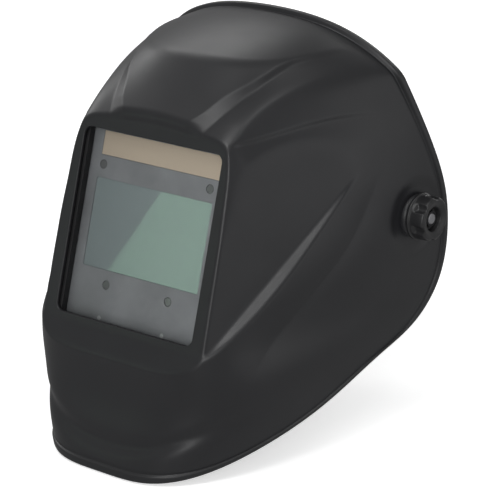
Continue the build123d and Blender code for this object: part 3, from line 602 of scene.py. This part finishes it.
# Relief on the shell. The ridges give the half width of the forehead's centre panel by y,
# and the panel's lift by y. The brow and the cheek are curves in the side view, as (y, z).
RIDGE_INNER = (
    (-139, 26.4),
    (-130, 34.8),
    (-118, 41),
    (-107, 48.3),
    (-92, 54.7),
    (-73, 59.9),
    (-56, 66.4),
    (-30, 72.9),
)
RIDGE_OUTER = (
    (-140, 39.5),
    (-131, 44.4),
    (-121, 48.7),
    (-111, 52.2),
    (-102, 56),
    (-92, 58.2),
    (-73, 62.6),
    (-56, 69),
    (-30, 75.5),
)
PANEL_LIFT = ((-140, 3.4), (-105, 2.6), (-73, 1.6), (-30, 0.0))
BROW = ((-139, 72.3), (-116, 75.0), (-91, 77.8), (-64.5, 79.0), (-16, 74.5))
BROW_DEPTH = 1.3
BROW_SPREAD = 20
CHEEK = (
    (-162, -88),
    (-151.4, -77.1),
    (-133.5, -59.9),
    (-101.7, -33.9),
    (-54.8, 7.8),
    (-42.2, 26.5),
    (-24.3, 46.4),
)
CHEEK_DEPTH = 1.9
CHEEK_SPREAD = 14
CHIN_VALLEY_Z = -129.0
CHIN_VALLEY_DEPTH = 2.4
CHIN_VALLEY_HALF = 5.5
DISH_DEPTH = 1.6
DISH_RADIUS = 29.0
DISH_SLOPE = 9
SIDE_STARTS = 60
SIDE_FADE = 12


def relief(p):
    """Height of the small forms that stand on the shell's surface."""
    x, y, z = np.abs(p[..., 0]), p[..., 1], p[..., 2]
    on_side = smooth_step((x - SIDE_STARTS) / SIDE_FADE)
    # raised centre panel of the forehead, with sloped sides that taper to a crease
    inner = np.interp(y, *np.array(RIDGE_INNER).T)
    outer = np.interp(y, *np.array(RIDGE_OUTER).T)
    lift = np.interp(y, *np.array(PANEL_LIFT).T)
    on_dome = smooth_step(0.5 + (dome_form(p) - flats_form(p)) / 5)
    slope = np.clip((outer - x) / (outer - inner), 0, 1)
    panel = lift * slope * on_dome * smooth_step((z - 60) / 8)
    # cheek: a long crease behind the side ledge
    off, place = curve_distance(CHEEK, y, z)
    fade = smooth_step(place / 0.25) * smooth_step((1 - place) / 0.25)
    cheek = -CHEEK_DEPTH * fade * np.exp(-np.sqrt(off**2 + 1.0) / CHEEK_SPREAD) * on_side
    # brow: a step down that fills out again towards the side panel
    off, place = curve_distance(BROW, y, z)
    fade = smooth_step((place + 0.02) / 0.08) * smooth_step((1 - place) / 0.45)
    step = smooth_step((0.6 - off) / 1.6) * smooth_step(1 + off / BROW_SPREAD)
    brow = -BROW_DEPTH * fade * step * smooth_step((x - 58) / 8) * on_dome
    # valley above the chin's lip
    valley_z = CHIN_VALLEY_Z + 0.0035 * x * x
    dip = np.exp(-(((z - valley_z) / CHIN_VALLEY_HALF) ** 2))
    valley = -CHIN_VALLEY_DEPTH * dip * smooth_step((92 - x) / 40) * smooth_step((-120 - y) / 30)
    # shallow dish round the pivot
    dish = -DISH_DEPTH * smooth_step((DISH_RADIUS - np.hypot(y, z)) / DISH_SLOPE) * on_side
    return panel + cheek + brow + valley + dish


FORWARD = np.array((0.0, -1.0, 0.0))
CENTRE = np.array((0.0, -60.0, 0.0))
AROUND = 560
MIDDLE_ROWS = 122
BEAD_WIDTH = 4.4
GROOVE_DEPTH = 0.5
GROOVE_PLACE = 5.0
RIM_ROUNDING = 1.3


def on_form(theta, phi):
    """Point of the shell seen from its centre at an angle off forward and a turn round it."""
    around = np.stack((np.cos(phi), np.zeros_like(phi), np.sin(phi)), -1)
    ray = np.cos(theta)[..., None] * FORWARD + np.sin(theta)[..., None] * around
    near = np.full(theta.shape, 20.0)
    far = np.full(theta.shape, 330.0)
    for _ in range(22):
        middle = (near + far) / 2
        inside = shell_form(CENTRE + middle[..., None] * ray) < 0
        near = np.where(inside, middle, near)
        far = np.where(inside, far, middle)
    return CENTRE + near[..., None] * ray


def opening_gap(p):
    """Signed distance in the window's plane from the edge of the opening."""
    width, height, radius = OPENING
    local = p - WINDOW_CENTRE
    qx = np.abs(local[..., 0]) - (width / 2 - radius)
    qy = np.abs(local @ WINDOW_UP) - (height / 2 - radius)
    outside = np.hypot(np.maximum(qx, 0), np.maximum(qy, 0))
    return outside + np.minimum(np.maximum(qx, qy), 0) - radius


def behind_rim(p):
    return curve_distance(RIM, p[..., 1], p[..., 2])[0]


def first_crossing(field, phi, limit):
    """Angle off forward at which a field first turns positive, for each turn phi."""
    steps = np.linspace(0.02, limit, 90)
    theta, turn = np.meshgrid(steps, phi)
    first = np.argmax(field(on_form(theta, turn)) > 0, axis=1)
    low = steps[np.maximum(first - 1, 0)]
    high = steps[first]
    for _ in range(14):
        middle = (low + high) / 2
        past = field(on_form(middle, phi)) > 0
        high = np.where(past, middle, high)
        low = np.where(past, low, middle)
    return (low + high) / 2


def shell_skin():
    """Rows of points from the opening to the rim, then back along the inside."""
    phi = np.linspace(0, 2 * pi, AROUND, endpoint=False)
    start = first_crossing(opening_gap, phi, 1.2)
    end = first_crossing(behind_rim, phi, 2.6)
    dense = np.linspace(0, 1, 170)[:, None]
    theta = start + (end - start) * dense
    track = on_form(theta, np.broadcast_to(phi, theta.shape))
    pace = np.linalg.norm(np.diff(track, axis=0), axis=2)
    run = np.r_[np.zeros((1, AROUND)), np.cumsum(pace, axis=0)]
    near_opening = np.array((0.0, 0.6, 1.4, 2.6))
    near_rim = np.array((7.5, 6.2, 5.2, 4.6, 4.2, 3.8, 3.2, 2.4, 1.6, 0.8, 0.0))
    rows = []
    edge_gap = []
    for j in range(AROUND):
        length = run[-1, j]
        inner = np.linspace(4.0, length - 9.0, MIDDLE_ROWS)
        wanted = np.r_[near_opening, inner, length - near_rim]
        rows.append(np.interp(wanted, run[:, j], theta[:, j]))
        edge_gap.append(length - wanted)
    theta = np.array(rows).T
    edge_gap = np.array(edge_gap).T
    base = on_form(theta, np.broadcast_to(phi, theta.shape))
    normal = slope_of(shell_form, base)
    bead_height = 1.2 + 1.8 * smooth_step((base[..., 2] - 60) / 55)
    bead = bead_height * smooth_step((BEAD_WIDTH - edge_gap) / 0.8)
    groove = GROOVE_DEPTH * np.exp(-(((edge_gap - GROOVE_PLACE) / 0.7) ** 2))
    skin = base + normal * (relief(base) + (bead - groove))[..., None]
    # rounded edge of the rim
    outward = base[-1] - base[-4]
    outward /= np.linalg.norm(outward, axis=1, keepdims=True)
    inside_rim = base[-1] - normal[-1] * WALL
    half = (skin[-1] - inside_rim) / 2
    turn_rows = [
        inside_rim + half + half * cos(radians(a)) + outward * RIM_ROUNDING * sin(radians(a))
        for a in (30, 65, 90, 115, 150)
    ]
    inner_rows = [base[i] - normal[i] * WALL for i in range(len(base) - 1, 3, -5)]
    # wall of the opening
    away = base[3] - base[0]
    away -= (away @ WINDOW_NORMAL)[:, None] * WINDOW_NORMAL
    away /= np.linalg.norm(away, axis=1, keepdims=True)
    wall_rows = [
        base[0] - WINDOW_NORMAL * depth + away * aside
        for depth, aside in ((3.0, 4.0), (3.0, 0.0), (0.9, 0.0), (0.35, 0.15), (0.08, 0.42))
    ]
    skin[0] = base[0] + away * 0.8
    skin[1] = base[0] + away * 1.2
    skin[2] = base[0] + away * 2.0
    loops = list(skin) + turn_rows + inner_rows + wall_rows
    points = np.concatenate(loops)
    return points, grid_faces(len(loops), AROUND, wrap_rows=True)


skin_points, skin_faces = shell_skin()
shell_piece = mesh_piece("shell_skin", skin_points, skin_faces, "shell", "shell_black")
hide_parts("shell")


# ---------------------------------------------------------------------------
# Inside of the shell: filter pocket, screw posts and pivot bosses
# ---------------------------------------------------------------------------
def window_point(x, height, depth):
    """Point behind the window's plane: across, up it and inwards."""
    return WINDOW_CENTRE + np.array((x, 0.0, 0.0)) + WINDOW_UP * height - WINDOW_NORMAL * depth


def rounded_outline(width, height, radius, offset):
    """Points round a rounded rectangle that has grown by offset."""
    corner = 10
    points = []
    a = width / 2 - radius
    b = height / 2 - radius
    for k, (sx, sy) in enumerate(((1, 1), (-1, 1), (-1, -1), (1, -1))):
        for step in range(corner + 1):
            angle = radians(90 * k + 90 * step / corner)
            reach = radius + offset
            points.append((sx * a + reach * cos(angle), sy * b + reach * sin(angle)))
    return points


def swept_frame(name, size, profile, body, slot_name):
    """A profile of (offset, depth) carried round a rounded rectangle behind the window."""
    loops = []
    for offset, depth in profile:
        loops.append([window_point(x, h, depth) for x, h in rounded_outline(*size, offset)])
    faces = grid_faces(len(loops), len(loops[0]), wrap_rows=True)
    return mesh_piece(name, np.concatenate(loops), faces, body, slot_name)


swept_frame(
    "filter_pocket",
    (119.0, 137.4, 4.0),
    (
        (0.0, 2.6),
        (0.0, 19.2),
        (0.3, 19.6),
        (1.7, 19.6),
        (2.0, 19.3),
        (2.2, 6.0),
        (3.6, 3.2),
        (4.0, 2.6),
    ),
    "shell",
    "shell_black",
)
INWARD = -WINDOW_NORMAL
post_profile = (
    (1.5, 19.6),
    (3.6, 19.6),
    (4.0, 19.2),
    (4.3, 12.0),
    (3.6, 10.4),
    (2.4, 9.6),
    (0.0, 9.4),
)
posts = []
for side in (-1, 1):
    for height in (-45.0, 45.0):
        posts.append(
            turned(
                "screw_post",
                post_profile,
                window_point(side * 65.3, height, 0),
                INWARD,
                "shell",
                "shell_black",
                32,
            )
        )
join("screw_posts", posts)

boss_profile = (
    (6.05, 103.5),
    (13.6, 103.5),
    (14.0, 103.9),
    (14.4, 107.5),
    (15.2, 109.2),
    (14.6, 111.6),
    (14.0, 112.3),
    (13.6, 112.6),
    (6.4, 112.6),
    (6.05, 112.3),
)
bosses = [
    turned("boss", boss_profile, (0, 0, 0), (side, 0, 0), "shell", "shell_black", 72, True)
    for side in (-1, 1)
]
join("pivot_bosses", bosses)


# ---------------------------------------------------------------------------
# Tension knobs: a slim base ring and a grip with six flutes
# ---------------------------------------------------------------------------
KNOB_X = 113.6
FLUTE_START = 4.6
FLUTE_INNER = 10.5
GRIP_RADIUS = 15.4
FLUTES = 6
FLUTE_FIRST = radians(20)
FLUTE_RADIUS = 4.4
FLUTE_CENTRE = 17.8


def fluted(radius, height, angle):
    """Radius of the grip with its flutes cut in above the flange."""
    pitch = 2 * pi / FLUTES
    local = (angle - FLUTE_FIRST + pitch / 2) % pitch - pitch / 2
    inside = FLUTE_RADIUS**2 - (FLUTE_CENTRE * sin(local)) ** 2
    if radius < FLUTE_INNER or inside <= 0:
        return radius
    cut = FLUTE_CENTRE * cos(local) - sqrt(inside)
    blend = min(1.0, max(0.0, (height - FLUTE_START) / 1.2))
    lap = max(0.7 - abs(radius - cut), 0.0)
    low = min(radius, cut) - lap * lap / 2.8
    return radius + (low - radius) * blend


KNOB_PROFILE = (
    (5.6, 0.0),
    (15.6, 0.0),
    (16.3, 0.4),
    (16.4, 1.4),
    (16.2, 2.0),
    (15.7, 2.3),
    (15.5, 2.5),
    (GRIP_RADIUS, 2.9),
    (GRIP_RADIUS, 4.6),
    (GRIP_RADIUS, 5.0),
    (GRIP_RADIUS, 5.4),
    (GRIP_RADIUS, 5.8),
    (15.4, 7.0),
    (15.3, 9.5),
    (15.2, 11.6),
    (14.9, 12.5),
    (14.3, 13.05),
    (13.5, 13.35),
    (12.6, 13.4),
    (11.6, 13.2),
    (10.4, 12.7),
    (9.4, 12.5),
    (8.7, 12.1),
    (8.4, 11.4),
    (8.3, 7.8),
    (8.0, 7.4),
    (5.6, 7.4),
)
for side, label in ((1, "left"), (-1, "right")):
    knob = turned(
        f"knob_grip_{label}",
        KNOB_PROFILE,
        (side * KNOB_X, 0, 0),
        (side, 0, 0),
        f"knob_{label}",
        "knob_black",
        256,
        True,
        fluted,
    )
    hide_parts(f"tension_knob_{label}")


# Stop pins with rounded ends, let into the shell's wall from inside
PIN_END = 106.9
for side, label in ((1, "left"), (-1, "right")):
    low, high = (np.array(corner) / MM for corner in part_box(f"stop_pin_{label}"))
    start = min(abs(low[0]), abs(high[0]))
    length = PIN_END - start
    pin = turned(
        f"stop_peg_{label}",
        (
            (1.5, 0.0),
            (1.85, 0.15),
            (2.0, 0.5),
            (2.0, length - 0.5),
            (1.85, length - 0.15),
            (1.5, length),
        ),
        (side * start, (low[1] + high[1]) / 2, (low[2] + high[2]) / 2),
        (side, 0, 0),
        "shell",
        "pin_steel",
        32,
    )
    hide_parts(f"stop_pin_{label}")


# ---------------------------------------------------------------------------
# Padded pieces of the headgear
# ---------------------------------------------------------------------------
BAND_TILT = radians(16)
BAND_UP = np.array((0.0, sin(BAND_TILT), cos(BAND_TILT)))
BAND_BACK = np.array((0.0, cos(BAND_TILT), -sin(BAND_TILT)))
BAND_ORIGIN = np.array((0.0, 0.0, 9.0))
PAD_VOXEL = 1.6
PAD_PRESSURE = 3.0
PAD_CAP = 1.6
CLOTH_STEPS = 18
SEAM_DEPTH = 1.2
THREAD_RADIUS = 0.28
STITCH_SPACING = 3.2


def band_point(radius, degrees, height, centre_y):
    """Point round the headband, in its tilted frame."""
    angle = radians(degrees)
    across = np.array((radius * cos(angle), 0.0, 0.0))
    return BAND_ORIGIN + across + BAND_BACK * (centre_y + radius * sin(angle)) + BAND_UP * height


def band_place(p, centre_y):
    """Radius, angle in degrees and height of points round the headband."""
    local = p - BAND_ORIGIN
    back = local @ BAND_BACK - centre_y
    angle = np.degrees(np.arctan2(back, local[:, 0])) % 360
    return np.hypot(local[:, 0], back), angle, local @ BAND_UP


def pad_form(name, inner, outer, start, end, tall, centre_y, slot_name):
    """Closed pad with rounded ends, as a grid round its section."""
    columns = 60
    section = 24
    loops = []
    for i in range(columns + 1):
        t = i / columns
        ease = sqrt(max(0.0, 1 - (2 * t - 1) ** 10))
        thick = (outer - inner) / 2 * max(ease, 0.12)
        high = tall / 2 * max(ease, 0.12)
        loop = []
        for k in range(section):
            a = 2 * pi * k / section
            c = abs(cos(a)) ** 0.7 * (1 if cos(a) > 0 else -1)
            s = abs(sin(a)) ** 0.45 * (1 if sin(a) > 0 else -1)
            radius = (inner + outer) / 2 + thick * c
            loop.append(band_point(radius, start + (end - start) * t, high * s, centre_y))
        loops.append(loop)
    faces = grid_faces(columns + 1, section)
    last = columns * section
    faces.append(tuple(range(last, last + section)))
    faces.append(tuple(reversed(range(section))))
    return mesh_piece(name, np.concatenate(loops), faces, "headgear", slot_name)


def inflate(piece):
    """Swells a pad with the cloth solver, and holds each point within a cap of its start."""
    bpy.context.view_layer.objects.active = piece
    remesh = piece.modifiers.new("voxels", "REMESH")
    remesh.mode = "VOXEL"
    remesh.voxel_size = PAD_VOXEL * MM
    bpy.ops.object.modifier_apply(modifier=remesh.name)
    before = np.array([v.co for v in piece.data.vertices])
    cloth = piece.modifiers.new("cloth", "CLOTH")
    cloth.settings.quality = 6
    cloth.settings.mass = 0.15
    cloth.settings.use_pressure = True
    cloth.settings.uniform_pressure_force = PAD_PRESSURE
    cloth.settings.tension_stiffness = 20
    cloth.settings.compression_stiffness = 20
    cloth.settings.bending_stiffness = 0.3
    cloth.settings.effector_weights.gravity = 0
    cloth.collision_settings.use_collision = False
    for step in range(1, CLOTH_STEPS + 1):
        bpy.context.scene.frame_set(step)
    seen = piece.evaluated_get(bpy.context.evaluated_depsgraph_get())
    after = np.array([v.co for v in seen.data.vertices])
    piece.modifiers.remove(cloth)
    bpy.context.scene.frame_set(1)
    move = after - before
    size = np.linalg.norm(move, axis=1, keepdims=True)
    before = before + move * np.minimum(1, PAD_CAP * MM / np.maximum(size, 1e-9))
    piece.data.vertices.foreach_set("co", before.ravel())
    piece.data.polygons.foreach_set("use_smooth", [True] * len(piece.data.polygons))
    piece.data.update()


def quilt(piece, seams, channels, outer, inner, centre_y):
    """Presses seams along the pad and channels across it, and keeps the pad off the band."""
    p = np.array([v.co for v in piece.data.vertices]) / MM
    radius, angle, height = band_place(p, centre_y)
    press = np.zeros(len(p))
    for seam in seams:
        press = np.maximum(press, np.exp(-(((height - seam) / 1.1) ** 2)))
    for channel in channels:
        arc = np.radians(angle - channel) * radius
        press = np.maximum(press, np.exp(-((arc / 1.2) ** 2)) * (np.abs(height) < max(seams)))
    toward = smooth_step((outer - 1.5 - radius) / 2)
    radius = np.clip(radius + press * SEAM_DEPTH * toward, inner, outer)
    p = np.array([band_point(r, a, h, centre_y) for r, a, h in zip(radius, angle, height)])
    piece.data.vertices.foreach_set("co", (p * MM).ravel())
    piece.data.update()
    smoother = piece.modifiers.new("smooth", "SUBSURF")
    smoother.levels = 1
    smoother.render_levels = 1


def stitches(name, radius, heights, start, end, centre_y, slot_name):
    """A row of short thread stitches along each seam."""
    points = []
    faces = []
    count = int(radians(end - start) * 72 / STITCH_SPACING)
    for height in heights:
        for i in range(count):
            middle = start + (end - start) * (i + 0.5) / count
            half = (end - start) / count * 0.34
            base = len(points)
            for t, swell in ((-1.0, 0.25), (-0.6, 1.0), (0.6, 1.0), (1.0, 0.25)):
                for k in range(6):
                    a = 2 * pi * k / 6
                    thread = THREAD_RADIUS * swell
                    place = (radius - thread * cos(a), middle + half * t, height + thread * sin(a))
                    points.append(band_point(*place, centre_y))
            faces += [tuple(base + i for i in f) for f in grid_faces(4, 6)]
            faces.append(tuple(base + 18 + k for k in range(6)))
            faces.append(tuple(base + k for k in reversed(range(6))))
    return mesh_piece(name, points, faces, "headgear", slot_name)


sweatband = pad_form("sweatband_pad", 72.6, 77.2, 214.6, 325.4, 25.0, -18.0, "sweatband_cloth")
inflate(sweatband)
quilt(sweatband, (-8.6, 8.6), (236, 253, 270, 287, 304), 77.7, 70.6, -18.0)
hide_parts("sweatband")
stitches("sweatband_stitches", 72.3, (-8.6, 8.6), 219, 321, -18.0, "sweatband_cloth")

rear_pad = pad_form("nape_pad", 72.2, 77.0, 67.8, 112.2, 21.0, 22.0, "rear_pad_cloth")
inflate(rear_pad)
quilt(rear_pad, (-6.8, 6.8), (82, 98), 77.4, 70.4, 22.0)
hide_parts("rear_pad")
stitches("nape_pad_stitches", 71.9, (-6.8, 6.8), 71, 109, 22.0, "rear_pad_cloth")


# ---------------------------------------------------------------------------
# Stage: floor, light and camera
# ---------------------------------------------------------------------------
def stage_card(name, corners, material):
    mesh = bpy.data.meshes.new(name)
    mesh.from_pydata(corners, [], [(0, 1, 2, 3)])
    mesh.materials.append(material)
    card = bpy.data.objects.new(name, mesh)
    bpy.context.scene.collection.objects.link(card)
    return card


def soft_light(name, direction, distance, width, height, radiance):
    """Rectangular softbox that faces the helmet from a direction."""
    data = bpy.data.lights.new(name, "AREA")
    data.shape = "RECTANGLE"
    data.size = width
    data.size_y = height
    data.energy = radiance * pi * width * height
    light = bpy.data.objects.new(name, data)
    light.location = MIDDLE + Vector(direction).normalized() * distance
    light.rotation_euler = (-Vector(direction)).to_track_quat("-Z", "Y").to_euler()
    light.visible_camera = False
    bpy.context.scene.collection.objects.link(light)


MIDDLE = Vector((0, -0.07, 0.02))
scene = bpy.context.scene
scene.view_settings.view_transform = "Standard"
world = bpy.data.worlds.new("studio")
world.use_nodes = True
sky = world.node_tree
backdrop = sky.nodes["Background"]
backdrop.inputs["Color"].default_value = (1, 1, 1, 1)
room = sky.nodes.new("ShaderNodeBackground")
room.inputs["Color"].default_value = (1, 1, 1, 1)
room.inputs["Strength"].default_value = 0.30
seen = sky.nodes.new("ShaderNodeLightPath")
either = sky.nodes.new("ShaderNodeMixShader")
sky.links.new(seen.outputs["Is Camera Ray"], either.inputs[0])
sky.links.new(room.outputs[0], either.inputs[1])
sky.links.new(backdrop.outputs[0], either.inputs[2])
sky.links.new(either.outputs[0], sky.nodes["World Output"].inputs["Surface"])
scene.world = world

floor_paint = Shader("floor_paint", (0.9, 0.9, 0.9), 0.8, 0.2)
floor_paint.vary_roughness(3, 0.75, 0.85)
floor_paint.main.inputs["Emission Color"].default_value = (1, 1, 1, 1)
floor_paint.main.inputs["Emission Strength"].default_value = 0.5
floor_z = cad_bounds[0][2] - 0.001
floor = stage_card(
    "floor",
    [(-9, -9, floor_z), (9, -9, floor_z), (9, 9, floor_z), (-9, 9, floor_z)],
    floor_paint.material,
)
floor.visible_glossy = False

soft_light("crown_light", (-0.60, 0.42, 0.68), 2.2, 1.1, 0.45, 4.0)
soft_light("top_light", (0.02, -0.50, 0.865), 2.2, 0.9, 0.5, 9.0)
soft_light("side_light", (0.95, 0.30, 0.10), 2.4, 1.6, 1.6, 0.75)
soft_light("temple_light", (0.40, -0.02, 0.92), 2.4, 0.8, 0.8, 3.0)
soft_light("front_light", (0.50, -0.84, 0.28), 2.6, 0.9, 1.4, 4.7)
soft_light("left_light", (-0.88, 0.10, 0.46), 2.4, 0.7, 0.9, 3.6)
soft_light("back_light", (-0.10, 0.93, 0.34), 2.6, 1.2, 1.0, 3.0)

# A small bright card that shows as a slanted reflection in the filter's glass
CARD_AWAY = 900.0
CARD_OUTLINE = ((-35, 25), (48, 25), (82, -102), (-35, -102))
card_centre = WINDOW_CENTRE + CARD_AWAY * np.array((-0.5832, -0.7979, 0.1508))
card_across = np.array((-0.8073, 0.5901, 0.0))
card_up = np.array((0.0890, 0.1218, 0.9886))
card_paint = Shader("card_paint", (0, 0, 0), 0.9, 0)
card_paint.main.inputs["Emission Color"].default_value = (0.75, 1.0, 0.8, 1)
card_paint.main.inputs["Emission Strength"].default_value = 2.9
card = stage_card(
    "window_card",
    [((card_centre + a * card_across + b * card_up) * MM).tolist() for a, b in CARD_OUTLINE],
    card_paint.material,
)
card.visible_camera = False
card.visible_diffuse = False
card.visible_shadow = False

# Camera: 1.64 m from the pivots, 38 degrees to the wearer's left and 17 up
CAMERA_AZIMUTH = radians(37.7)
CAMERA_ELEVATION = radians(17.2)
CAMERA_DISTANCE = 1.64
FOCAL = 170.4
PIVOT_ASIDE = 0.0846
PIVOT_ABOVE = 0.1210
SENSOR = 36.0
to_camera = Vector(
    (
        sin(CAMERA_AZIMUTH) * cos(CAMERA_ELEVATION),
        -cos(CAMERA_AZIMUTH) * cos(CAMERA_ELEVATION),
        sin(CAMERA_ELEVATION),
    )
)
right = Vector((cos(CAMERA_AZIMUTH), sin(CAMERA_AZIMUTH), 0))
upward = to_camera.cross(right)
gaze = -to_camera - right * (PIVOT_ASIDE * SENSOR / FOCAL) - upward * (PIVOT_ABOVE * SENSOR / FOCAL)
gaze.normalize()
right = (right - gaze * right.dot(gaze)).normalized()
upward = right.cross(gaze)
camera_data = bpy.data.cameras.new("camera")
camera_data.lens = FOCAL
camera_data.sensor_width = SENSOR
camera_data.clip_end = 60
camera = bpy.data.objects.new("camera", camera_data)
camera.matrix_world = Matrix.Translation(to_camera * CAMERA_DISTANCE) @ Matrix(
    (right, upward, -gaze)
).transposed().to_4x4()
scene.collection.objects.link(camera)
scene.camera = camera
